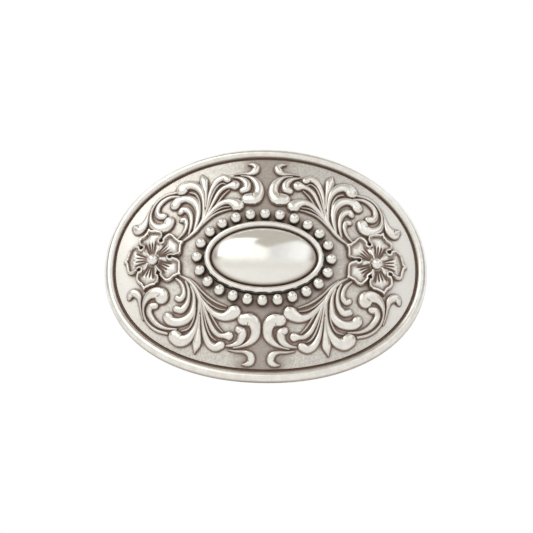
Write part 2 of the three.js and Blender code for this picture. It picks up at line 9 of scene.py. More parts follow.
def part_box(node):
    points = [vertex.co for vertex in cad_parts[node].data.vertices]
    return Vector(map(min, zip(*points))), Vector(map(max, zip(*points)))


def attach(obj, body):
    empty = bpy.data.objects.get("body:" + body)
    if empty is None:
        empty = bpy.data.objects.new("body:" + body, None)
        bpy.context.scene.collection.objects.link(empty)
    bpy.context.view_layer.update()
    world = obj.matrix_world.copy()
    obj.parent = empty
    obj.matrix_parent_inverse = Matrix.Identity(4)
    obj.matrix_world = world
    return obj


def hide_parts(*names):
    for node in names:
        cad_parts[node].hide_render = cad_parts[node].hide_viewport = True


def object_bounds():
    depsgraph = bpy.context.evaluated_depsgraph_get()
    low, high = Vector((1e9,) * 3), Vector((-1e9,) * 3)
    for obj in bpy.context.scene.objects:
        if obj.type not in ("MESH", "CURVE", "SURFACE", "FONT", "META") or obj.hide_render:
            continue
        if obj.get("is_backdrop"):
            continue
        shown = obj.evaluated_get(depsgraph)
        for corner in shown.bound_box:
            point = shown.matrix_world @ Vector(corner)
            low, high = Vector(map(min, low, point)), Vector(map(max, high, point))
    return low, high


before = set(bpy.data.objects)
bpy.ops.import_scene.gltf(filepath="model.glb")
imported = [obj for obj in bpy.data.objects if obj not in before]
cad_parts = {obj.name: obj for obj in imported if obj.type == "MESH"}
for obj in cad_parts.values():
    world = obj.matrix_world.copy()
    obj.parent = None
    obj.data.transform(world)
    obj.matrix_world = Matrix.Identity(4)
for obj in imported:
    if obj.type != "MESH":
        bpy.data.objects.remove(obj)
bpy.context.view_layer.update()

# An oval Western belt buckle. Lengths in this script are millimetres, in the frame's own
# axes: +X to the right of someone facing the buckle, +Z up, and the face looks along -Y.
MM = 0.001
BUCKLE = "buckle"
BAIL = "bail"


def box_mm(node):
    low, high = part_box(node)
    return low / MM, high / MM


# ---------------------------------------------------------------- sizes

plate_low, plate_high = box_mm("base_plate")
dome_low = box_mm("centre_dome")[0]
bezel_high = box_mm("centre_bezel")[1]

PLATE_HALF_WIDTH = plate_high.x
PLATE_HALF_HEIGHT = plate_high.z
PLATE_THICKNESS = 1.6
FACE_Y = plate_low.y
END_FALL = plate_high.y - PLATE_THICKNESS - FACE_Y
EDGE_FALL = 4.5
SINK = 0.2
ON_AXIS = 1e-6

GROOVE_HALF_HEIGHT = 32.3
GROOVE_WIDTH = 0.6
GROOVE_DEPTH = 0.45
RIM_INNER_HALF_HEIGHT = 32.75
RIM_HEIGHT = 1.5
OVAL_WIDENING = PLATE_HALF_WIDTH - PLATE_HALF_HEIGHT
OVAL_FULLNESS = 2.09

BEAD_RING_HALF_WIDTH = 19.2
BEAD_RING_HALF_HEIGHT = 13.0
BEZEL_HALF_HEIGHT = bezel_high.z + 0.2
BEZEL_WIDENING = bezel_high.x - bezel_high.z
BEZEL_WIRE = 2.3
BEZEL_HEIGHT = 2.2
DOME_HALF_HEIGHT = 8.75
DOME_WIDENING = 6.35
DOME_RISE = FACE_Y - dome_low.y

FLOWER_X = 32.4
FLOWER_Z = 0.15


def fall(x, z):
    """How far the curved face lies behind its middle."""
    return END_FALL * (x / PLATE_HALF_WIDTH) ** 2 + EDGE_FALL * (z / PLATE_HALF_HEIGHT) ** 2


def drape(points):
    """Carries points (x, lift off the face, z) onto the curved face."""
    points = np.array(points, float)
    x, lift, z = points.T
    return np.column_stack([x, FACE_Y + fall(x, z) - lift, z])


# ---------------------------------------------------------------- mesh helpers

def make_mesh(name, points, faces):
    mesh = bpy.data.meshes.new(name)
    mesh.from_pydata((np.array(points) * MM).tolist(), [], faces)
    mesh.update()
    return mesh


def face_outwards(mesh):
    """Turns a closed mesh the right way out."""
    mesh.calc_loop_triangles()
    corners = np.array([[mesh.vertices[i].co for i in tri.vertices] for tri in mesh.loop_triangles])
    volume = np.einsum("ij,ij->i", corners[:, 0], np.cross(corners[:, 1], corners[:, 2])).sum()
    if volume < 0:
        mesh.flip_normals()


def add_piece(name, mesh, material, replaced, body=BUCKLE, sharp_angle=40):
    piece = bpy.data.objects.new(name, mesh)
    bpy.context.scene.collection.objects.link(piece)
    mesh.shade_smooth()
    mesh.set_sharp_from_angle(angle=math.radians(sharp_angle))
    mesh.materials.clear()
    mesh.materials.append(material)
    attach(piece, body)
    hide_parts(*replaced)
    return piece


def skin(rings):
    """Points and faces over rings of equal count, with a cap over each end."""
    count, sides = len(rings), len(rings[0])
    points = np.concatenate([np.asarray(ring, float) for ring in rings])
    faces = []
    for ring in range(count - 1):
        here, following = ring * sides, (ring + 1) * sides
        for side in range(sides):
            beside = (side + 1) % sides
            faces.append((here + side, here + beside, following + beside, following + side))
    faces.append(tuple(range(sides))[::-1])
    faces.append(tuple(range((count - 1) * sides, count * sides)))
    return points, faces


def fuller(part, fullness):
    """Bends a sine or cosine so that the oval it draws is a little squarer than an ellipse."""
    return math.copysign(abs(part) ** (2 / fullness), part)


def oval_turned(profile, core, widening, segments, fullness=2.0):
    """A turned piece stretched to an oval: profile is (upright half height, lift) pairs.

    Outside core the oval keeps its width all round. A profile that starts and ends on the
    axis is closed there, and any other closes on itself.
    """
    turns = np.linspace(0, 2 * math.pi, segments, endpoint=False)
    points, starts, faces = [], [], []
    for radius, lift in profile:
        starts.append(len(points))
        half_width = radius * (1 + widening / core) if radius < core else radius + widening
        if radius < ON_AXIS:
            points.append((0, lift, 0))
        else:
            points.extend((half_width * fuller(math.sin(turn), fullness), lift,
                           radius * fuller(math.cos(turn), fullness)) for turn in turns)
    starts.append(len(points))
    open_profile = profile[0][0] < ON_AXIS
    steps = len(profile) - 1 if open_profile else len(profile)
    for i in range(steps):
        a, b = starts[i], starts[(i + 1) % len(profile)]
        a_pole = profile[i][0] < ON_AXIS
        b_pole = profile[(i + 1) % len(profile)][0] < ON_AXIS
        for n in range(segments):
            m = (n + 1) % segments
            if a_pole:
                faces.append((a, b + n, b + m))
            elif b_pole:
                faces.append((a + n, b, a + m))
            else:
                faces.append((a + n, b + n, b + m, a + m))
    return drape(points), faces


def arc(x, y, radius_x, radius_y, from_degrees, to_degrees, steps):
    """Profile points along part of an ellipse."""
    turns = np.radians(np.linspace(from_degrees, to_degrees, steps + 1))
    return [(x + radius_x * math.cos(t), y + radius_y * math.sin(t)) for t in turns]


# ---------------------------------------------------------------- scroll strokes

def smooth_line(points, spacing=0.28):
    """Centripetal Catmull-Rom through the points, as rows of x, z and half width."""
    points = np.array(points, float)
    padded = np.vstack([2 * points[0] - points[1], points, 2 * points[-1] - points[-2]])
    rows = []
    for i in range(len(points) - 1):
        p = padded[i:i + 4]
        t = [0.0]
        for a, b in zip(p[:-1], p[1:]):
            t.append(t[-1] + math.sqrt(np.linalg.norm(b[:2] - a[:2])))
        steps = max(2, round(np.linalg.norm(p[2][:2] - p[1][:2]) / spacing))
        for u in np.linspace(t[1], t[2], steps, endpoint=False):
            a1 = (t[1] - u) / (t[1] - t[0]) * p[0] + (u - t[0]) / (t[1] - t[0]) * p[1]
            a2 = (t[2] - u) / (t[2] - t[1]) * p[1] + (u - t[1]) / (t[2] - t[1]) * p[2]
            a3 = (t[3] - u) / (t[3] - t[2]) * p[2] + (u - t[2]) / (t[3] - t[2]) * p[3]
            b1 = (t[2] - u) / (t[2] - t[0]) * a1 + (u - t[0]) / (t[2] - t[0]) * a2
            b2 = (t[3] - u) / (t[3] - t[1]) * a2 + (u - t[1]) / (t[3] - t[1]) * a3
            rows.append((t[2] - u) / (t[2] - t[1]) * b1 + (u - t[1]) / (t[2] - t[1]) * b2)
    rows.append(points[-1])
    return np.array(rows)


# A stroke's cross section from one side to the other: (part of the half width, part of the crest).
SECTION = [(math.cos(turn), math.sin(turn) ** 0.7) for turn in np.radians(np.linspace(180, 0, 13))]
SECTION[0] = (-1, 0)
SECTION[-1] = (1, 0)

STROKE_WIDENING = 1.07
STROKE_LIFT = 0.65
STROKE_SWELL = 0.5
TIGHTEST_BEND = 0.85
TAIL_TURNS = (1.3, 0.8, 0.4)
HEAD_TURNS = np.radians([15, 30, 45, 58, 69, 78, 85])


def crest_height(half):
    return STROKE_LIFT + STROKE_SWELL * half


def stroke(points):
    """A rounded tapering ridge along a smooth line, with a round head and a sunken foot."""
    line = smooth_line(points) * [1, 1, STROKE_WIDENING]
    heading = np.gradient(line[:, :2], axis=0)
    heading /= np.linalg.norm(heading, axis=1)[:, None]
    length = np.concatenate([[0], np.cumsum(np.linalg.norm(np.diff(line[:, :2], axis=0), axis=1))])
    bend = (heading[:-1, 0] * heading[1:, 1] - heading[:-1, 1] * heading[1:, 0]) / np.diff(length)
    bend = np.convolve(np.append(bend, bend[-1]), np.ones(3) / 3, mode="same")
    rings = []

    def add_ring(x, z, along, left, right, crest):
        ring = []
        for side, lift in SECTION:
            reach = side * (left if side < 0 else right)
            ring.append((x - along[1] * reach, -SINK + (crest + SINK) * lift, z + along[0] * reach))
        rings.append(ring)

    first, last = line[0], line[-1]
    for turn in TAIL_TURNS:
        reach, half = first[2] * math.sin(turn), first[2] * math.cos(turn)
        add_ring(first[0] - heading[0][0] * reach, first[1] - heading[0][1] * reach, heading[0],
                 half, half, crest_height(first[2]) * math.cos(turn) ** 0.5)
    for (x, z, half), along, curve in zip(line, heading, bend):
        inside = min(half, TIGHTEST_BEND / max(abs(curve), 1e-6))
        left, right = (half, inside) if curve > 0 else (inside, half)
        add_ring(x, z, along, left, right, crest_height(half))
    for turn in HEAD_TURNS:
        reach, half = last[2] * math.sin(turn), last[2] * math.cos(turn)
        add_ring(last[0] + heading[-1][0] * reach, last[1] + heading[-1][1] * reach, heading[-1],
                 half, half, crest_height(last[2]) * math.cos(turn) ** 0.6)
    points, faces = skin(rings)
    return drape(points), faces


def combined(name, shells, operation="UNION"):
    """One closed mesh: the first shell with each of the others joined on or taken away."""
    scene = bpy.context.scene
    objects = []
    for i, (points, faces) in enumerate(shells):
        mesh = make_mesh(f"{name}_shell_{i}", points, faces)
        face_outwards(mesh)
        shell = bpy.data.objects.new(mesh.name, mesh)
        scene.collection.objects.link(shell)
        objects.append(shell)
    whole = objects[0]
    for other in objects[1:]:
        join = whole.modifiers.new("join", "BOOLEAN")
        join.operation = operation
        join.solver = "MANIFOLD"
        join.object = other
    depsgraph = bpy.context.evaluated_depsgraph_get()
    mesh = bpy.data.meshes.new_from_object(whole.evaluated_get(depsgraph))
    mesh.name = name
    for shell in objects:
        leftover = shell.data
        bpy.data.objects.remove(shell)
        bpy.data.meshes.remove(leftover)
    return mesh


def mirrored(mesh, name):
    copy = mesh.copy()
    copy.name = name
    places = np.zeros(len(copy.vertices) * 3)
    copy.vertices.foreach_get("co", places)
    places[0::3] *= -1
    copy.vertices.foreach_set("co", places)
    copy.flip_normals()
    return copy


# Strokes of the left half, each a list of (x, z, half width) from tail to head. The right
# half is their mirror image. The thin ones are the engraved ridges between the lobes.
UPPER_SPRAY = {
    "stem": [(-24.2, 5.1, 0.3), (-21.6, 7, 0.6), (-19.4, 9.4, 0.7), (-17.9, 12.4, 0.7),
             (-17.8, 15, 0.3)],
    "tall_leaf": [(-18.2, 11.5, 0.5), (-18.2, 15.5, 0.55), (-18.6, 19, 0.7), (-19.4, 21.3, 1),
                  (-20.7, 22.9, 1.25), (-22.7, 23.7, 1.4), (-24.4, 23.2, 1.75),
                  (-25.1, 22.3, 1.85)],
    "second_lobe": [(-20.6, 8.5, 0.5), (-19.9, 12, 0.75), (-19.8, 14.5, 0.95), (-20.4, 16.8, 1.2),
                    (-21.9, 18.5, 1.3), (-24, 19.1, 1.15), (-26, 18.5, 1.4), (-26.9, 17.2, 1.55)],
    "third_lobe": [(-22.2, 7.4, 0.4), (-21.7, 10, 0.6), (-21.7, 12, 0.7), (-22.2, 14, 0.85),
                   (-23.2, 15.3, 1), (-24.4, 15.5, 1.05), (-25.1, 14.7, 0.95)],
    "small_lobe": [(-25.4, 6.1, 0.35), (-23.9, 7.8, 0.55), (-23.2, 9.4, 0.65), (-23.1, 11, 0.75),
                   (-23.7, 12.2, 0.9), (-24.5, 12.1, 0.85)],
    "bud": [(-17.6, 16, 0.4), (-17.8, 20.5, 0.6), (-18.4, 23.3, 1.15), (-18.8, 25.2, 1.3),
            (-19.5, 27.2, 0.12)],
    "inner_leaf": [(-17.6, 13, 0.45), (-17.1, 16.5, 0.45), (-16.7, 19.7, 0.6), (-15.8, 22.7, 0.8),
                   (-14.4, 24.9, 1), (-12.8, 25.7, 1.1), (-11.6, 25, 1.15)],
    "ball_lobe": [(-17.4, 12.5, 0.5), (-16.5, 14.8, 0.5), (-15.2, 18, 0.6), (-13.9, 20.7, 0.7),
                  (-12.4, 22.2, 0.75), (-11, 22.8, 0.9), (-9.5, 23, 1.65)],
    "bead_lobe": [(-18.6, 10, 0.5), (-16.8, 13, 0.6), (-15, 15.3, 0.75), (-13, 17, 0.9),
                  (-11, 17.6, 1.1), (-9.3, 17.1, 1.6), (-8.2, 16.2, 1.95)],
    "boundary": [(-20, 8.2, 0.3), (-17.3, 11.3, 0.42), (-14.8, 13.4, 0.42), (-12.2, 14.5, 0.38),
                 (-10, 15, 0.25)],
    "ridge_leaf": [(-19.1, 14, 0.3), (-19.6, 18, 0.35), (-20.9, 20.4, 0.38), (-22.6, 21.1, 0.3)],
    "ridge_inner": [(-17, 15, 0.3), (-15.8, 20, 0.36), (-14.5, 22.7, 0.36), (-13.1, 23.7, 0.3),
                    (-11.8, 23.3, 0.2)],
    "ridge_ball": [(-16.5, 13.4, 0.3), (-14.2, 17, 0.32), (-12.6, 19.6, 0.34), (-10.9, 21.4, 0.25)],
    "ridge_bead": [(-17.4, 11.8, 0.3), (-14.9, 14.3, 0.32), (-12.6, 15.6, 0.3),
                   (-10.4, 15.8, 0.22)],
}
UPPER_RIM_SCROLL = {
    "flower_curl": [(-26.8, 21.4, 0.5), (-29.7, 20.9, 0.55), (-32.1, 19.3, 0.5),
                    (-33.7, 16.8, 0.45), (-34.2, 14.3, 0.5), (-33.7, 11.9, 0.95),
                    (-32.3, 10.4, 1.35), (-30.4, 9.9, 1.6), (-28.9, 10.6, 1.75),
                    (-28.3, 11.8, 1.7)],
    "rim_comma": [(-33.9, 17.8, 0.25), (-35, 14.8, 0.45), (-35.5, 12.7, 0.85), (-36.4, 11, 1.35),
                  (-37.8, 10.2, 1.6), (-38.9, 11, 0.9)],
    "inner_curl": [(-25.8, 20, 0.4), (-28.5, 20, 0.6), (-30.7, 18.8, 0.75), (-32, 17, 0.8),
                   (-32.2, 15.2, 0.9), (-31.4, 14, 1.1), (-30.2, 13.9, 1.15)],
}
UPPER_CREST = {
    "outer_crescent": [(-7.5, 26.2, 0.3), (-5.2, 25.8, 0.5), (-3.3, 24.4, 1.1), (-2.2, 22.2, 1.4),
                       (-2.2, 20, 1.65), (-3.4, 18.5, 2.1), (-5.3, 18.3, 1.85)],
    "inner_crescent": [(-9.8, 25.7, 0.3), (-8, 25.4, 0.6), (-6.5, 24.5, 1), (-5.7, 23.1, 1.2),
                       (-5.9, 21.8, 1.3), (-6.9, 21.2, 1.05)],
    "top_comma": [(-9.4, 26.6, 0.25), (-7, 26.9, 0.4), (-4.9, 27, 0.75), (-3.6, 27.8, 1.15),
                  (-3.2, 29.1, 1.1), (-4.1, 30.1, 0.75), (-5.5, 30.2, 0.3)],
}
LOWER_SPRAY = {
    "stem": [(-24.2, -5.1, 0.3), (-21.6, -6.7, 0.6), (-19.4, -9.3, 0.7), (-18, -12.4, 0.7),
             (-17.9, -16, 0.4)],
    "tall_leaf": [(-18.1, -13, 0.5), (-18.2, -16.5, 0.5), (-18.7, -19.5, 0.7), (-19.7, -22, 1.05),
                  (-21.4, -23.8, 1.5), (-23.3, -24, 1.85), (-24.8, -22.9, 1.9)],
    "second_lobe": [(-20.7, -8.5, 0.4), (-19.8, -11, 0.55), (-19.7, -14, 0.8), (-20.3, -16.7, 1.1),
                    (-21.9, -18.3, 1.25), (-24, -18.8, 1.3), (-26.2, -18.3, 1.4),
                    (-27.1, -17.3, 1.5)],
    "third_lobe": [(-22.3, -7, 0.4), (-21.4, -9.5, 0.55), (-21.3, -12, 0.7), (-21.9, -14, 0.9),
                   (-23.2, -15.3, 1.1), (-24.7, -15, 1.05)],
    "small_lobe": [(-25.2, -6, 0.35), (-23.7, -7.4, 0.6), (-22.9, -9.2, 0.7), (-22.9, -11.2, 0.9),
                   (-23.8, -12.1, 1), (-24.6, -11.8, 0.9)],
    "bud": [(-17.9, -17, 0.4), (-18, -20.5, 0.65), (-18.2, -23.5, 1.15), (-18.4, -25.2, 1.3),
            (-19, -27.9, 0.12)],
    "inner_leaf": [(-17.7, -13, 0.45), (-17.2, -17, 0.45), (-16.7, -20.3, 0.6), (-16, -23, 0.85),
                   (-14.8, -25.2, 1.05), (-13, -26.2, 1.2), (-11.5, -25.6, 1.25)],
    "ball_lobe": [(-17.5, -12.5, 0.5), (-16.3, -15.8, 0.55), (-15, -19, 0.65), (-13.6, -21.5, 0.75),
                  (-12, -22.8, 0.75), (-10.6, -23, 0.8), (-9.3, -23, 1.35)],
    "bead_lobe": [(-18.8, -10.5, 0.5), (-17, -13.1, 0.6), (-15, -15.5, 0.85), (-13, -17, 1),
                  (-10.8, -17.6, 1.3), (-9.1, -17, 1.75), (-8, -16.2, 2.05)],
    "boundary": [(-21.5, -6.1, 0.3), (-19.4, -7.9, 0.4), (-17.5, -10, 0.42), (-15.3, -12, 0.42),
                 (-13, -13.5, 0.4), (-10.2, -14.7, 0.25)],
    "ridge_leaf": [(-19.1, -15, 0.3), (-19.6, -18.4, 0.35), (-21, -20.8, 0.36), (-23, -21.4, 0.25)],
    "ridge_inner": [(-17, -15, 0.3), (-16.3, -18, 0.32), (-15.4, -21, 0.36), (-14.2, -23.2, 0.34),
                    (-12.8, -24.3, 0.2)],
    "ridge_ball": [(-16.4, -13.6, 0.3), (-15.1, -16, 0.32), (-13.7, -18.5, 0.34),
                   (-12.3, -20.6, 0.32), (-11, -22, 0.2)],
    "ridge_bead": [(-18.2, -10.4, 0.3), (-16.6, -12.4, 0.32), (-14.4, -14.3, 0.32),
                   (-12.2, -15.4, 0.3), (-10.4, -15.7, 0.2)],
}
LOWER_RIM_SCROLL = {
    "flower_curl": [(-27.2, -21.9, 0.45), (-30, -21, 0.5), (-32.5, -19.2, 0.45),
                    (-34.1, -16.8, 0.4), (-34.6, -14.2, 0.45), (-34.1, -11.9, 0.9),
                    (-32.8, -10.3, 1.45), (-31, -9.8, 1.75), (-29.5, -10.4, 2), (-29.2, -11.3, 2)],
    "rim_comma": [(-34.5, -17.5, 0.25), (-35.3, -15, 0.35), (-35.8, -12.5, 0.5),
                  (-36.2, -10.6, 0.95), (-37.3, -9.5, 1.2), (-38.6, -9.6, 1.2),
                  (-39.1, -10.8, 0.7)],
    "inner_curl": [(-24.5, -20.8, 0.35), (-27.5, -20.4, 0.5), (-30, -19.2, 0.75),
                   (-31.9, -17.2, 0.85), (-32.8, -15.2, 0.9), (-32.3, -13.8, 1.05),
                   (-31.1, -13.7, 1.05)],
}
LOWER_CREST = {
    "outer_crescent": [(-7.8, -26.4, 0.3), (-5.5, -25.9, 0.45), (-3.3, -24.8, 0.9),
                       (-1.9, -23, 1.35), (-1.7, -21, 1.5), (-2.3, -19.2, 1.85),
                       (-3.7, -18.3, 1.95), (-5.1, -18.4, 1.75)],
    "inner_crescent": [(-9.8, -25.8, 0.35), (-8, -25.6, 0.6), (-6.4, -24.8, 1), (-5.6, -23.4, 1.25),
                       (-5.5, -22, 1.3), (-6.5, -21.3, 1.1)],
    "bottom_comma": [(-9.4, -26.9, 0.22), (-7.2, -27.3, 0.4), (-5, -27.4, 0.5), (-3.5, -27.9, 0.9),
                     (-2.7, -29, 1.1), (-2.9, -30.2, 1.05), (-4.1, -30.9, 0.65),
                     (-5.3, -30.9, 0.25)],
}
SCROLLS = {
    "upper_spray": UPPER_SPRAY,
    "upper_rim_scroll": UPPER_RIM_SCROLL,
    "upper_crest": UPPER_CREST,
    "lower_spray": LOWER_SPRAY,
    "lower_rim_scroll": LOWER_RIM_SCROLL,
    "lower_crest": LOWER_CREST,
}

# ---------------------------------------------------------------- flowers

# The left flower's outline, anticlockwise from its right-hand notch: (degrees, distance).
FLOWER_OUTLINE = [
    (2.3, 5.0), (4.5, 6.3), (6.5, 7.4), (10.5, 8.0), (17, 8.15), (25, 8.7), (29, 9.9), (34, 8.9),
    (44, 8.6), (53, 8.75), (60, 8.5), (64, 7.4), (66.5, 6.3),
    (68.5, 5.7), (70, 6.8), (72.5, 7.8), (79, 8.5), (89, 8.75), (97, 8.9), (102, 9.8), (106, 8.6),
    (113, 7.95), (122, 7.9), (129, 7.3), (133, 6.2),
    (134.8, 5.2), (137, 6.1), (140, 7.1), (146, 7.7), (154, 7.9), (165, 7.8), (174.5, 7.9),
    (179, 8.8), (184, 7.9), (194, 7.75), (203, 7.9), (210, 7.4), (214, 6.4),
    (216.5, 4.9), (220, 5.6), (224, 6.3), (229, 7.05), (237, 7.5), (246, 7.75), (252.5, 8.5),
    (256, 9.2), (260, 8.2), (268, 7.6), (278, 7.45), (285, 6.9), (290, 6.0),
    (292.5, 4.7), (295.5, 6.0), (298, 7.0), (302, 7.9), (309, 8.25), (318, 8.3), (325, 8.9),
    (328.5, 9.7), (333, 8.9), (343, 8.25), (352, 7.8), (357, 7.0), (359.5, 6.0),
]
FLOWER_NOTCHES = (2.3, 68.5, 134.8, 216.5, 292.5)
PETAL_WALL = 0.5
EYE_RADIUS = 0.4
FLOWER_RINGS = 60
FLOWER_SPOKES = 480

# Heights over the face, and the places across a petal where its flutes are cut.
LIP_RISE = 1.3
LIP_MIDDLE = 0.4
LIP_HALF_WIDTH = 0.37
PETAL_EDGE_LIFT = 0.35
PETAL_RISE = 0.8
RIDGE_RISE = 0.7
FLUTE_DEPTH = 0.6
FLUTES = (0.26, 0.42, 0.58, 0.74)
FLUTES_FROM = 1.9
FLUTES_TO = 5.4
LOWEST_PETAL = 0.25


def flower_reach(angles):
    """Distance of the flower's outline at angles in degrees."""
    known = np.array(FLOWER_OUTLINE)
    wrapped = np.vstack([known[-3:] - [360, 0], known, known[:3] + [360, 0]])
    return np.interp(angles % 360, wrapped[:, 0], wrapped[:, 1]) + PETAL_WALL


def bump(distance, width):
    return np.exp(-(distance / width) ** 2)


def flower():
    """A cupped five-petalled flower: raised lips, fluted petals and a ridge up to each notch."""
    angles = np.linspace(0, 360, FLOWER_SPOKES, endpoint=False)
    reach = flower_reach(angles)
    smoothed = (np.roll(reach, 1) + 2 * reach + np.roll(reach, -1)) / 4
    outline = KDTree(len(angles) * 4)
    fine = np.linspace(0, 360, len(angles) * 4, endpoint=False)
    for i, (angle, far) in enumerate(zip(np.radians(fine), flower_reach(fine))):
        outline.insert((far * math.cos(angle), far * math.sin(angle), 0), i)
    outline.balance()
    notches = np.array(FLOWER_NOTCHES)
    eye_distances = flower_reach(notches) - EYE_RADIUS
    notch_turns = np.radians(notches)
    eyes = list(zip(eye_distances * np.cos(notch_turns), eye_distances * np.sin(notch_turns)))
    parts = np.linspace(1, 0.04, FLOWER_RINGS)
    foot = [(far * math.cos(turn), -SINK, far * math.sin(turn))
            for turn, far in zip(np.radians(angles), smoothed)]
    rings = [foot]
    for part in parts:
        ring = []
        for angle, far in zip(angles, smoothed):
            distance = far * part
            turn = math.radians(angle)
            x, z = distance * math.cos(turn), distance * math.sin(turn)
            eye = min(math.hypot(x - ex, z - ez) for ex, ez in eyes) - EYE_RADIUS
            edge = min(outline.find((x, z, 0))[2], max(eye, 0))
            after = (angle - notches) % 360
            before = (notches - angle) % 360
            nearest = min(after.min(), before.min())
            span = after.min() + before.min()
            along = after.min() / span
            lip = math.exp(-((edge - LIP_MIDDLE) / LIP_HALF_WIDTH) ** 6)
            ridge = bump(math.radians(nearest) * distance, 0.25 + 0.1 * distance)
            ridge *= min(1, distance / 2.5)
            floor = PETAL_EDGE_LIFT + PETAL_RISE * (1 - math.exp(-(edge / 2.1) ** 2))
            flutes = sum(bump((along - spot) * math.radians(span) * distance, 0.36 - 0.03 * distance)
                         for spot in FLUTES)
            inside_end = 1 / (1 + math.exp((distance - FLUTES_TO) / 0.25))
            outside_start = 1 / (1 + math.exp((FLUTES_FROM - distance) / 0.2))
            fluted = flutes * inside_end * outside_start
            lift = floor + LIP_RISE * lip + RIDGE_RISE * ridge - FLUTE_DEPTH * fluted
            ring.append((x, max(LOWEST_PETAL, lift * min(1, 0.6 + edge * 2)), z))
        rings.append(ring)
    points, faces = skin(rings)
    points += [-FLOWER_X, 0, FLOWER_Z]
    return drape(points), faces


# ---------------------------------------------------------------- materials

def new_material(name):
    material = bpy.data.materials.new(name)
    material.use_nodes = True
    tree = material.node_tree
    tree.nodes.clear()
    return material, tree


def feed(tree, socket, value):
    """Gives an input a value, or links another node's output to it."""
    if isinstance(value, bpy.types.NodeSocket):
        tree.links.new(value, socket)
    else:
        socket.default_value = value


def add_node(tree, kind, settings=None, **inputs):
    """A node with its settings; an input goes by its name, or by its number as i0, i1 and so on."""
    node = tree.nodes.new(kind)
    for key, value in (settings or {}).items():
        setattr(node, key, value)
    for key, value in inputs.items():
        numbered = key[0] == "i" and key[1:].isdigit()
        feed(tree, node.inputs[int(key[1:]) if numbered else key], value)
    return node


def maths(tree, operation, *values):
    node = tree.nodes.new("ShaderNodeMath")
    node.operation = operation
    for socket, value in zip(node.inputs, values):
        feed(tree, socket, value)
    return node.outputs[0]


def ramp(tree, value, low, high, to_low=0.0, to_high=1.0):
    """Smoothly from to_low at low to to_high at high."""
    node = add_node(tree, "ShaderNodeMapRange", {"interpolation_type": "SMOOTHSTEP"},
                    i0=value, i1=low, i2=high, i3=to_low, i4=to_high)
    return node.outputs[0]


def mix_colour(tree, factor, a, b):
    node = add_node(tree, "ShaderNodeMix", {"data_type": "RGBA"}, i0=factor, i6=a, i7=b)
    return node.outputs[2]


def place_mm(tree):
    """The object's own coordinates in millimetres."""
    coordinates = add_node(tree, "ShaderNodeTexCoord").outputs["Object"]
    scaled = add_node(tree, "ShaderNodeVectorMath", {"operation": "SCALE"}, i0=coordinates)
    scaled.inputs["Scale"].default_value = 1 / MM
    return scaled.outputs[0]


def noise(tree, place, scale, detail=3.0, roughness=0.55):
    node = add_node(tree, "ShaderNodeTexNoise", Vector=place, Scale=scale, Detail=detail,
                    Roughness=roughness)
    return node.outputs[0]


def lift_off_face(tree, place):
    """How high a point stands off the curved face, in millimetres."""
    split = add_node(tree, "ShaderNodeSeparateXYZ", i0=place).outputs
    across = maths(tree, "POWER", maths(tree, "DIVIDE", split[0], PLATE_HALF_WIDTH), 2.0)
    upright = maths(tree, "POWER", maths(tree, "DIVIDE", split[2], PLATE_HALF_HEIGHT), 2.0)
    end_fall = maths(tree, "MULTIPLY", across, END_FALL)
    edge_fall = maths(tree, "MULTIPLY", upright, EDGE_FALL)
    face = maths(tree, "ADD", end_fall, edge_fall)
    return maths(tree, "SUBTRACT", maths(tree, "ADD", face, FACE_Y), split[1])


# Colours of the clean metal, of the brown patina left in the low places, and of the painted shade on
# the relief's sides, the rim's flanks, the bezel and the bead rims.
SILVER = (0.93, 0.915, 0.88, 1)
DOME_SILVER = (0.90, 0.885, 0.85, 1)
WARM_SILVER = (0.84, 0.815, 0.77, 1)
PATINA_AND_FLANK_SHADE = (0.24, 0.163, 0.127, 1)
DEEP_PAINTED_SHADE = (0.05, 0.034, 0.028, 1)
RIM_PATINA_AND_SHADE = (0.30, 0.25, 0.21, 1)
FIELD_SILVER = (0.80, 0.785, 0.745, 1)
END_SILVER = (0.90, 0.885, 0.85, 1)
FIELD_WARM = (0.60, 0.575, 0.53, 1)
FIELD_PATINA = (0.25, 0.185, 0.155, 1)
BACK_SILVER = (0.62, 0.60, 0.56, 1)

# Openness to the sky below which a crease is full of patina, and above which it is clean.
CREASE_SHUT = 0.28
CREASE_CLEAR = 0.74
FINEST_RELIEF = 0.06
SCRATCH_DEPTH = 0.02
DIRTY_ROUGHNESS = 0.62


def open_to_sky(tree, reach, shut, clear, unevenness):
    """0 in creases narrower than reach, 1 in the open."""
    hollow = add_node(tree, "ShaderNodeAmbientOcclusion", {"samples": 12})
    hollow.inputs["Distance"].default_value = reach * MM
    return ramp(tree, maths(tree, "ADD", hollow.outputs["AO"], unevenness), shut, clear)


def centred(tree, value, amount):
    return maths(tree, "MULTIPLY", maths(tree, "SUBTRACT", value, 0.5), amount)


def metal_output(tree, colour, rough, height, strength, metallic=1.0, depth=FINEST_RELIEF):
    """The finished metal, with a height that ruffles its surface to a depth in millimetres."""
    relief = add_node(tree, "ShaderNodeBump", Height=height, Strength=strength, Distance=depth * MM)
    shader = add_node(tree, "ShaderNodeBsdfPrincipled", Normal=relief.outputs[0], Roughness=rough,
                      Metallic=metallic)
    feed(tree, shader.inputs["Base Color"], colour)
    add_node(tree, "ShaderNodeOutputMaterial", i0=shader.outputs[0])


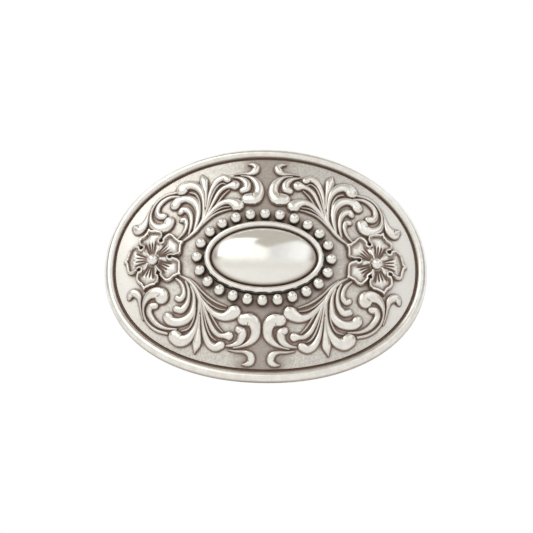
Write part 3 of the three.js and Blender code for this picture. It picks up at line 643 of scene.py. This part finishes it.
def antiqued(name, bright_from, bright_to, roughness, dull=WARM_SILVER, grain=0.12, patina_and_shade=PATINA_AND_FLANK_SHADE,
             reach=1.1):
    """Silver bright above one lift and darker below it and in the creases: patina in the hollows, with
    painted shade on the sides of the relief and the rim and on the bezel and beads.
    """
    material, tree = new_material(name)
    place = place_mm(tree)
    lift = lift_off_face(tree, place)
    patchy = noise(tree, place, 0.5, 3.0)
    fine = noise(tree, place, 4.0, 3.0)
    # Brighter with lift: low parts take the darker colour, which is patina on some pieces and painted
    # shade on others.
    bright_by_lift = ramp(tree, maths(tree, "ADD", lift, centred(tree, fine, grain)), bright_from, bright_to)
    crease = open_to_sky(tree, reach, CREASE_SHUT, CREASE_CLEAR, centred(tree, fine, 0.12))
    clean = maths(tree, "MULTIPLY", bright_by_lift, crease)
    silver = mix_colour(tree, ramp(tree, patchy, 0.35, 0.65), dull, SILVER)
    colour = mix_colour(tree, clean, patina_and_shade, silver)
    even = ramp(tree, clean, 0.0, 1.0, DIRTY_ROUGHNESS, roughness)
    rough = maths(tree, "ADD", even, centred(tree, fine, grain))
    metallic = ramp(tree, clean, 0.0, 1.0, 0.3, 1.0)
    metal_output(tree, colour, rough, noise(tree, place, 6.0, 4.0), grain, metallic)
    return material


def stippled(name):
    """The matte ground: browner beside the ornaments, round the beads and on the middle line."""
    material, tree = new_material(name)
    place = place_mm(tree)
    split = add_node(tree, "ShaderNodeSeparateXYZ", i0=place).outputs
    lift = lift_off_face(tree, place)
    patchy = noise(tree, place, 0.35, 4.0)
    fine = noise(tree, place, 1.8, 4.0)
    ring_x = maths(tree, "DIVIDE", split[0], BEAD_RING_HALF_WIDTH)
    ring_z = maths(tree, "DIVIDE", split[2], BEAD_RING_HALF_HEIGHT)
    ring = add_node(tree, "ShaderNodeCombineXYZ", i0=ring_x, i1=0.0, i2=ring_z).outputs[0]
    length = add_node(tree, "ShaderNodeVectorMath", {"operation": "LENGTH"}, i0=ring)
    from_ring = maths(tree, "ADD", length.outputs["Value"], centred(tree, patchy, 0.5))
    off_beads = ramp(tree, ramp(tree, from_ring, 0.95, 1.35), 0.0, 1.0, 0.8, 1.0)
    across = maths(tree, "ADD", maths(tree, "ABSOLUTE", split[0]), centred(tree, patchy, 6.0))
    off_middle = ramp(tree, ramp(tree, across, 3.0, 11.0), 0.0, 1.0, 0.45, 1.0)
    open_wide = open_to_sky(tree, 4.0, 0.45, 1.0, centred(tree, patchy, 0.15))
    near = ramp(tree, open_wide, 0.0, 1.0, 0.35, 1.0)
    groove = ramp(tree, lift, -0.5, -0.12)
    clean = maths(tree, "MULTIPLY", maths(tree, "MULTIPLY", near, groove),
                  maths(tree, "MULTIPLY", off_beads, off_middle))
    grainy = mix_colour(tree, ramp(tree, fine, 0.3, 0.7), FIELD_WARM, FIELD_SILVER)
    # The ground is made lighter towards the plate's ends.
    towards_ends = ramp(tree, across, 24.0, 42.0)
    silver = mix_colour(tree, towards_ends, grainy, END_SILVER)
    colour = mix_colour(tree, clean, FIELD_PATINA, silver)
    tight = open_to_sky(tree, 1.0, 0.6, 0.95, centred(tree, fine, 0.1))
    face = mix_colour(tree, maths(tree, "MULTIPLY", groove, tight), PATINA_AND_FLANK_SHADE, colour)
    behind = ramp(tree, lift, -0.65, -0.85)
    plain_back = mix_colour(tree, ramp(tree, patchy, 0.3, 0.7), FIELD_WARM, BACK_SILVER)
    both_sides = mix_colour(tree, behind, face, plain_back)
    cells = add_node(tree, "ShaderNodeTexVoronoi", {"feature": "F1"}, Vector=place, Scale=4.0)
    height = maths(tree, "ADD", fine, cells.outputs["Distance"])
    shiny = maths(tree, "MAXIMUM", clean, behind)
    rough = ramp(tree, shiny, 0.0, 1.0, 0.6, 0.42)
    metal_output(tree, both_sides, rough, height, 0.35, ramp(tree, shiny, 0.0, 1.0, 0.6, 1.0))
    return material


def polished(name, bright, dull, roughness, scratch):
    """Polished silver tone with faint haze and fine scratches."""
    material, tree = new_material(name)
    place = place_mm(tree)
    haze = noise(tree, place, 0.3, 4.0)
    stretched = add_node(tree, "ShaderNodeMapping", i0=place)
    stretched.inputs["Scale"].default_value = (0.6, 1, 7)
    stretched.inputs["Rotation"].default_value = (0, 0.5, 0)
    lines = noise(tree, stretched.outputs[0], 3.0, 6.0, 0.7)
    colour = mix_colour(tree, ramp(tree, haze, 0.2, 0.8), dull, bright)
    rough = ramp(tree, haze, 0.3, 0.7, roughness, roughness * 1.5)
    metal_output(tree, colour, rough, lines, scratch, depth=SCRATCH_DEPTH)
    return material


# The relief's lift ramp leaves patina in its hollows and paints shade on the strokes' sides.
relief_metal = antiqued("antiqued_relief", 0.25, 1.2, 0.22)
petal_metal = antiqued("antiqued_petals", 0.4, 0.95, 0.24, SILVER)
# The bezel's lower flank is painted near-black: painted shade standing for the deep shadow under the
# bezel.
bezel_metal = antiqued("bezel_painted_flank_shade", 0.8, 1.7, 0.22, patina_and_shade=DEEP_PAINTED_SHADE, reach=0.3)
# Each bead's and flower ball's visible rim is painted near-black: a painted shade ring standing for the
# shadow in the crease at its base.
bead_metal = antiqued("beads_painted_rim_shade", 1.55, 2.15, 0.2, patina_and_shade=DEEP_PAINTED_SHADE)
field_metal = stippled("antiqued_field")
# The rim darkens down its flanks: patina at its foot and painted shade on its rounded sides.
rim_metal = antiqued("polished_rim", 0.1, 1.25, 0.2, patina_and_shade=RIM_PATINA_AND_SHADE)
dome_metal = antiqued("polished_dome", 0.9, 2.3, 0.13, DOME_SILVER, 0.03)
fitting_metal = polished("back_fittings", WARM_SILVER, BACK_SILVER, 0.26, 0.25)

# ---------------------------------------------------------------- the face

RIM_SEGMENTS = 240
CENTRE_SEGMENTS = 160
GROOVE_FLAT = 0.18
FRONT_EDGE = 0.3
BACK_EDGE = 0.4

groove_in = GROOVE_HALF_HEIGHT - GROOVE_WIDTH / 2
groove_out = GROOVE_HALF_HEIGHT + GROOVE_WIDTH / 2
front = [(radius, 0) for radius in np.linspace(0, groove_in, 22)]
front += [(GROOVE_HALF_HEIGHT - GROOVE_FLAT, -0.8 * GROOVE_DEPTH),
          (GROOVE_HALF_HEIGHT, -GROOVE_DEPTH),
          (GROOVE_HALF_HEIGHT + GROOVE_FLAT, -0.8 * GROOVE_DEPTH),
          (groove_out, 0)]
edge = [(PLATE_HALF_HEIGHT - FRONT_EDGE, 0)]
edge += arc(PLATE_HALF_HEIGHT - FRONT_EDGE, -FRONT_EDGE, FRONT_EDGE, FRONT_EDGE, 80, -10, 3)
edge += arc(PLATE_HALF_HEIGHT - BACK_EDGE, BACK_EDGE - PLATE_THICKNESS, BACK_EDGE, BACK_EDGE, 0, -90, 4)
back = [(radius, -PLATE_THICKNESS) for radius in np.linspace(PLATE_HALF_HEIGHT - 2 * BACK_EDGE, 0, 24)]
plate_oval = oval_turned(front + edge + back, groove_in, OVAL_WIDENING, RIM_SEGMENTS, OVAL_FULLNESS)
plate_mesh = make_mesh("face_plate", *plate_oval)
face_outwards(plate_mesh)
add_piece("face_plate", plate_mesh, field_metal, ["base_plate"])

rim_outer = PLATE_HALF_HEIGHT
rim_profile = [(rim_outer - 0.1, -SINK), (rim_outer - 0.02, 0.5)]
rim_profile += arc(rim_outer - 1.2, 0.5, 1.18, RIM_HEIGHT - 0.5, 0, 100, 8)
rim_profile += [(RIM_INNER_HALF_HEIGHT + 0.75, 1.2), (RIM_INNER_HALF_HEIGHT + 0.3, 0.85),
                (RIM_INNER_HALF_HEIGHT + 0.05, 0.45), (RIM_INNER_HALF_HEIGHT, -SINK)]
rim_oval = oval_turned(rim_profile, 20, OVAL_WIDENING, RIM_SEGMENTS, OVAL_FULLNESS)
rim_mesh = make_mesh("edge_rim", *rim_oval)
face_outwards(rim_mesh)
add_piece("edge_rim", rim_mesh, rim_metal, ["rim_wire"])

bezel_middle = BEZEL_HALF_HEIGHT - BEZEL_WIRE / 2
bezel_profile = arc(bezel_middle, 0.2, BEZEL_WIRE / 2, BEZEL_HEIGHT - 0.2, 0, 180, 14)
bezel_profile += [(BEZEL_HALF_HEIGHT - BEZEL_WIRE, -SINK), (BEZEL_HALF_HEIGHT, -SINK)]
bezel_mesh = make_mesh("bezel_ring", *oval_turned(bezel_profile, 5, BEZEL_WIDENING, CENTRE_SEGMENTS))
face_outwards(bezel_mesh)
add_piece("bezel_ring", bezel_mesh, bezel_metal, ["centre_bezel"])

DOME_WALL = 0.9
dome_profile = [(0, -SINK), (DOME_HALF_HEIGHT, -SINK)]
for turn in np.linspace(0, math.pi / 2, 22):
    dome_profile.append((DOME_HALF_HEIGHT * math.cos(turn),
                         DOME_WALL + (DOME_RISE - DOME_WALL) * math.sin(turn) ** 1.15))
dome_profile[-1] = (0, DOME_RISE)
dome_oval = oval_turned(dome_profile, DOME_HALF_HEIGHT + 0.01, DOME_WIDENING, CENTRE_SEGMENTS)
dome_mesh = make_mesh("polished_dome", *dome_oval)
face_outwards(dome_mesh)
add_piece("polished_dome", dome_mesh, dome_metal, ["centre_dome"])


BALL_SEGMENTS = 28


def ball(name, radius, lift, x, z, replaced):
    """A shot bead: a ball sunk a little in its seat."""
    turns = np.radians(np.linspace(-90, 90, 17))
    profile = [(radius * math.cos(t), lift + radius * math.sin(t)) for t in turns]
    profile[0] = (0, lift - radius)
    profile[-1] = (0, lift + radius)
    profile = [(max(r, 0), max(up, -SINK)) for r, up in profile]
    points, faces = oval_turned(profile, radius + 1, 0, BALL_SEGMENTS)
    points[:, 1] += fall(x, z) - fall(points[:, 0], points[:, 2])
    points[:, 0] += x
    points[:, 2] += z
    mesh = make_mesh(name, points, faces)
    face_outwards(mesh)
    return add_piece(name, mesh, bead_metal, [replaced])


BEAD_COUNT = 24
BEAD_RADIUS = 1.68
BEAD_LIFT = 1.15
FLOWER_BALL_RADIUS = 1.72
FLOWER_BALL_LIFT = 1.5
FLOWER_BALL_DROP = 0.3

for i in range(BEAD_COUNT):
    node = f"shot_bead_{i + 1:02d}"
    low, high = box_mm(node)
    middle = (low + high) / 2
    ball(f"bead_{i + 1:02d}", BEAD_RADIUS, BEAD_LIFT, middle.x, middle.z, node)

flower_mesh = make_mesh("petals_left", *flower())
face_outwards(flower_mesh)
add_piece("petals_left", flower_mesh, petal_metal, ["flower_left"], sharp_angle=70)
add_piece("petals_right", mirrored(flower_mesh, "petals_right"), petal_metal,
          ["flower_right"], sharp_angle=70)
for side, sign in (("left", -1), ("right", 1)):
    ball(f"flower_ball_{side}", FLOWER_BALL_RADIUS, FLOWER_BALL_LIFT, sign * FLOWER_X,
         FLOWER_Z - FLOWER_BALL_DROP, f"flower_centre_{side}")

for name, strokes in SCROLLS.items():
    left = combined(f"{name}_relief_left", [stroke(points) for points in strokes.values()])
    right = mirrored(left, f"{name}_relief_right")
    add_piece(left.name, left, relief_metal, [f"{name}_left"])
    add_piece(right.name, right, relief_metal, [f"{name}_right"])

# ---------------------------------------------------------------- back hardware

hinge_low, hinge_high = box_mm("bail_hinge_block")
HINGE_X = (hinge_low.x + hinge_high.x) / 2
HINGE_Y = hinge_high.y - 2.5
PIN_RADIUS = 1.3
PIN_END = 14.6
BORE_RADIUS = 1.6
BORE_DEPTH = 5
WIRE_RADIUS = 1.5
ARM_Z = 21
REACH = 18
TILT = math.radians(11)
HOOK_X = -24
HOOK_FLANGE_RADIUS = 4.2
HOOK_SEAT_Y = 2.277
HOOK_TIP_LEAN = 4.5
HOOK_LENGTH = 6
HOOK_RADIUS = 2


def tube(places, sides=28):
    """A round bar through (middle, direction, radius) places."""
    rings = []
    for middle, along, radius in places:
        along = Vector(along).normalized()
        upright = Vector((0, 0, 1)) if abs(along.y) > 0.9 else Vector((0, 1, 0))
        across = along.cross(upright).normalized()
        other = along.cross(across)
        rings.append([Vector(middle) + radius * (math.cos(t) * across + math.sin(t) * other)
                      for t in np.linspace(0, 2 * math.pi, sides, endpoint=False)])
    return skin(rings)


def hinge_bar():
    """The bar across the back: its foot follows the plate, and each end has a hole."""
    half_width, half_length, soft = (hinge_high.x - hinge_low.x) / 2, hinge_high.z, 0.6
    rings = []
    steps = [(-half_length, soft), (-half_length + 0.2, 0.25), (-half_length + soft, 0)]
    stations = steps + [(z, 0) for z in np.linspace(-half_length + 2, half_length - 2, 14)]
    stations += [(-z, inset) for z, inset in reversed(steps)]
    for z, inset in stations:
        ring = []
        for x in np.linspace(-half_width + inset, half_width - inset, 9):
            ring.append((HINGE_X + x, FACE_Y + fall(HINGE_X + x, z) + PLATE_THICKNESS - SINK, z))
        corner = half_width - soft
        for turn in np.radians(np.linspace(0, 90, 6)):
            ring.append((HINGE_X + corner + (soft - inset) * math.cos(turn),
                         hinge_high.y - soft + (soft - inset) * math.sin(turn), z))
        for turn in np.radians(np.linspace(90, 180, 6)):
            ring.append((HINGE_X - corner + (soft - inset) * math.cos(turn),
                         hinge_high.y - soft + (soft - inset) * math.sin(turn), z))
        rings.append(ring)
    shells = [skin(rings)]
    for end in (-1, 1):
        places = [((HINGE_X, HINGE_Y, end * z), (0, 0, 1), BORE_RADIUS)
                  for z in (half_length - BORE_DEPTH, half_length - 1, half_length + 1)]
        shells.append(tube(places))
    return combined("hinge_bar", shells, "DIFFERENCE")


def bail_wire():
    """The bent wire loop, its pins turned down where they enter the hinge bar."""
    shoulder = hinge_high.z + 0.3
    places = []

    def add(x, z, along_x, along_z, radius):
        turned = (math.cos(TILT) * x, math.sin(TILT) * x)
        places.append(((HINGE_X + turned[0], HINGE_Y + turned[1], z),
                       (along_x * math.cos(TILT), along_x * math.sin(TILT), along_z), radius))

    def add_bend(x, z, radius, start, stop, steps):
        for t in np.radians(np.linspace(start, stop, steps + 1)):
            add(x + radius * math.cos(t), z + radius * math.sin(t), -math.sin(t), math.cos(t),
                WIRE_RADIUS)

    inner, corner = 1.6, 4
    add(0, -PIN_END - 0.2, 0, -1, PIN_RADIUS)
    add(0, -shoulder, 0, -1, PIN_RADIUS)
    add(0.02, -shoulder - 0.05, 0, -1, WIRE_RADIUS - 0.1)
    add_bend(inner, inner - ARM_Z, inner, 205, 270, 8)
    add_bend(REACH - corner, corner - ARM_Z, corner, 270, 360, 14)
    other_half = [((x, y, -z), (-dx, -dy, dz), radius)
                  for (x, y, z), (dx, dy, dz), radius in reversed(places)]
    return tube(places + other_half)


def hook_stud():
    """A round boss with a soft edge, and a leaning prong with a rounded tip."""
    turns = np.linspace(0, 2 * math.pi, 48, endpoint=False)
    around = [(HOOK_X + HOOK_FLANGE_RADIUS * math.cos(t), HOOK_FLANGE_RADIUS * math.sin(t))
              for t in turns]
    boss = [[(x, FACE_Y + fall(x, z) + PLATE_THICKNESS - SINK, z) for x, z in around]]
    for inset, y in ((0, HOOK_SEAT_Y - 0.25), (0.07, HOOK_SEAT_Y - 0.07), (0.25, HOOK_SEAT_Y)):
        part = 1 - inset / HOOK_FLANGE_RADIUS
        boss.append([(HOOK_X + (x - HOOK_X) * part, y, z * part) for x, z in around])
    shells = [skin(boss)]
    start = np.array([HOOK_X, HOOK_SEAT_Y - 0.8, 0])
    bend = np.array([HOOK_X - HOOK_TIP_LEAN / 5, HOOK_SEAT_Y + 0.6 * HOOK_LENGTH, 0])
    tip = np.array([HOOK_X - HOOK_TIP_LEAN, HOOK_SEAT_Y + HOOK_LENGTH - HOOK_RADIUS / 2, 0])
    prong = []
    for part in (0, 0.08, 0.16, 0.24, 0.35, 0.5, 0.6, 0.7, 0.78, 0.84, 0.9, 0.94, 0.97, 0.99, 1.0):
        middle = (1 - part) ** 2 * start + 2 * part * (1 - part) * bend + part ** 2 * tip
        along = 2 * (1 - part) * (bend - start) + 2 * part * (tip - bend)
        rounding = math.sqrt(max(0.02, 1 - max(0, (part - 0.7) / 0.3) ** 2))
        fillet = 0.5 * max(0, 1 - part / 0.24) ** 2
        prong.append((tuple(middle), tuple(along), HOOK_RADIUS * rounding + fillet))
    shells.append(tube(prong, 40))
    return combined("hook_boss", shells, "UNION")


add_piece("hinge_bar", hinge_bar(), fitting_metal, ["bail_hinge_block"], sharp_angle=35)
add_piece("hook_boss", hook_stud(), fitting_metal, ["hook_stud"], sharp_angle=35)
bail_mesh = make_mesh("bail_wire", *bail_wire())
face_outwards(bail_mesh)
add_piece("bail_wire", bail_mesh, fitting_metal, ["belt_bail"], BAIL, sharp_angle=50)

# ---------------------------------------------------------------- studio

# Lengths from here on are metres.
FLOOR_Z = -0.21
FLOOR_HALF_SIZE = 30.0
FLOOR_COLOUR = (0.94, 0.935, 0.92, 1)


def pale_floor():
    mesh = bpy.data.meshes.new("floor")
    corners = [(x * FLOOR_HALF_SIZE, y * FLOOR_HALF_SIZE, FLOOR_Z)
               for x, y in ((-1, -1), (1, -1), (1, 1), (-1, 1))]
    mesh.from_pydata(corners, [], [(0, 1, 2, 3)])
    floor = bpy.data.objects.new("floor", mesh)
    bpy.context.scene.collection.objects.link(floor)
    material, tree = new_material("pale_floor")
    shader = add_node(tree, "ShaderNodeBsdfPrincipled", Roughness=0.8)
    feed(tree, shader.inputs["Base Color"], FLOOR_COLOUR)
    add_node(tree, "ShaderNodeOutputMaterial", i0=shader.outputs[0])
    mesh.materials.append(material)
    floor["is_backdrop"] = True


def surroundings():
    """A studio room: x, y and z are the parts of a direction, and each ramp is a soft boundary."""
    world = bpy.data.worlds.new("studio")
    bpy.context.scene.world = world
    world.use_nodes = True
    tree = world.node_tree
    tree.nodes.clear()
    direction = add_node(tree, "ShaderNodeTexCoord").outputs["Generated"]
    split = add_node(tree, "ShaderNodeSeparateXYZ", i0=direction).outputs
    x, y, z = split[0], split[1], split[2]
    left_card = (1.2, 1.18, 1.12, 1)
    shaded_wall = (0.80, 0.80, 0.79, 1)
    right_wall = (1.05, 1.05, 1.05, 1)
    ceiling = (0.55, 0.52, 0.47, 1)
    far_floor = (0.86, 0.85, 0.82, 1)
    dim = (0.42, 0.39, 0.35, 1)
    white = (1.0, 1.0, 1.0, 1)
    middle = mix_colour(tree, ramp(tree, x, -0.06, 0.1), left_card, shaded_wall)
    sides = mix_colour(tree, ramp(tree, x, 0.1, 0.55), middle, right_wall)
    wedge = maths(tree, "SUBTRACT", z, maths(tree, "MULTIPLY", maths(tree, "ABSOLUTE", x), 0.8))
    overhead = maths(tree, "MAXIMUM", ramp(tree, wedge, 0.42, 0.55), ramp(tree, z, 0.72, 0.95))
    lit = mix_colour(tree, overhead, sides, ceiling)
    edges = mix_colour(tree, ramp(tree, maths(tree, "ABSOLUTE", x), 0.6, 0.92), lit, dim)
    low = mix_colour(tree, ramp(tree, z, 0.28, 0.0), edges, far_floor)
    behind = mix_colour(tree, ramp(tree, y, -0.05, 0.15), low, white)
    background = add_node(tree, "ShaderNodeBackground", Color=behind)
    add_node(tree, "ShaderNodeOutputWorld", i0=background.outputs[0])


def soft_light(name, place, aim, size, power):
    data = bpy.data.lights.new(name, "AREA")
    data.shape = "RECTANGLE"
    data.size, data.size_y = size
    data.energy = power
    light = bpy.data.objects.new(name, data)
    light.location = place
    light.rotation_mode = "QUATERNION"
    light.rotation_quaternion = (Vector(aim) - Vector(place)).to_track_quat("-Z", "Y")
    bpy.context.scene.collection.objects.link(light)


# The camera looks up at the buckle from a little to its right. Angles are degrees, the sensor
# and the lens are millimetres, and the shifts are parts of the picture's width.
CAMERA_AZIMUTH = 2.53
CAMERA_ELEVATION = -19.24
CAMERA_ROLL = 1.89
CAMERA_DISTANCE = 0.35
SENSOR_WIDTH = 36
LENS = 82.48
SHIFT_X = 0.005
SHIFT_Y = -0.017


def camera():
    azimuth, elevation = math.radians(CAMERA_AZIMUTH), math.radians(CAMERA_ELEVATION)
    back = Vector((math.sin(azimuth) * math.cos(elevation), -math.cos(azimuth) * math.cos(elevation),
                   math.sin(elevation)))
    data = bpy.data.cameras.new("camera")
    data.sensor_width = SENSOR_WIDTH
    data.lens = LENS
    aim = Vector((0, FACE_Y * MM, 0))
    eye = bpy.data.objects.new("camera", data)
    eye.rotation_mode = "QUATERNION"
    look = (-back).to_track_quat("-Z", "Y")
    roll = Quaternion((0, 0, 1), math.radians(CAMERA_ROLL))
    eye.rotation_quaternion = look @ roll
    eye.location = aim + back * CAMERA_DISTANCE
    data.shift_x = SHIFT_X
    data.shift_y = SHIFT_Y
    data.clip_start = 0.01
    bpy.context.scene.collection.objects.link(eye)
    bpy.context.scene.camera = eye


pale_floor()
surroundings()
soft_light("key", place=(-0.45, -0.55, 0.5), aim=(0, 0, 0), size=(0.6, 0.6), power=0.8)
camera()
bpy.context.scene.view_settings.view_transform = "Standard"

low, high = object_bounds()
